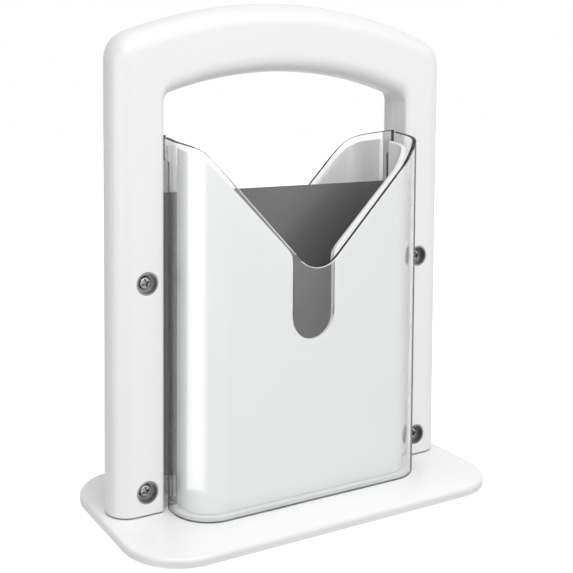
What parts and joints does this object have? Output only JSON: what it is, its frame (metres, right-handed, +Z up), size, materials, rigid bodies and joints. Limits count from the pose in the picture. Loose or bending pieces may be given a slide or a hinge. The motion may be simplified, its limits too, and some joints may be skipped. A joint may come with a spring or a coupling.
{
  "type": "guillotine bagel slicer",
  "caption": "Upright bagel slicer: an arched handle drops a wide blade between two clear-shielded white cradles with a V-shaped mouth.",
  "frame": {"origin": "on the table under the middle of the base plate", "axes": "+X along the slicer's width, to the right seen from the front; +Y to the back; +Z up, along the handle's travel"},
  "size_m": [0.1972, 0.1032, 0.2418],
  "materials": {
    "base_plastic": "moulded white plastic, satin",
    "foot_rubber": "black moulded rubber",
    "clear_shield": "clear moulded plastic",
    "cradle_plastic": "moulded white plastic, satin",
    "stand_screw_steel": "plated steel",
    "handle_plastic": "moulded white plastic, satin",
    "blade_coating": "grey non-stick coating on steel, ground edge",
    "screw_steel": "plated steel",
    "washer_steel": "dark plated steel"
  },
  "bodies": {
    "stand": {"base_plate": "base_plastic", "foot_front_left": "foot_rubber", "foot_front_right": "foot_rubber", "foot_rear_left": "foot_rubber", "foot_rear_right": "foot_rubber", "front_shield": "clear_shield", "rear_shield": "clear_shield", "front_cradle": "cradle_plastic", "rear_cradle": "cradle_plastic", "stand_screw_front_left": "stand_screw_steel", "stand_screw_front_right": "stand_screw_steel", "stand_screw_rear_left": "stand_screw_steel", "stand_screw_rear_right": "stand_screw_steel"},
    "handle": {"handle_front_half": "handle_plastic", "handle_rear_half": "handle_plastic", "blade": "blade_coating", "handle_screw_upper_left": "screw_steel", "handle_screw_upper_right": "screw_steel", "handle_screw_lower_left": "screw_steel", "handle_screw_lower_right": "screw_steel", "washer_upper_left": "washer_steel", "washer_upper_right": "washer_steel", "washer_lower_left": "washer_steel", "washer_lower_right": "washer_steel"}
  },
  "joints": [
    {"name": "handle_lift", "type": "slide", "parent": "stand", "child": "handle", "axis": [0, 0, 1], "range_m": [0, 0.15]}
  ]
}
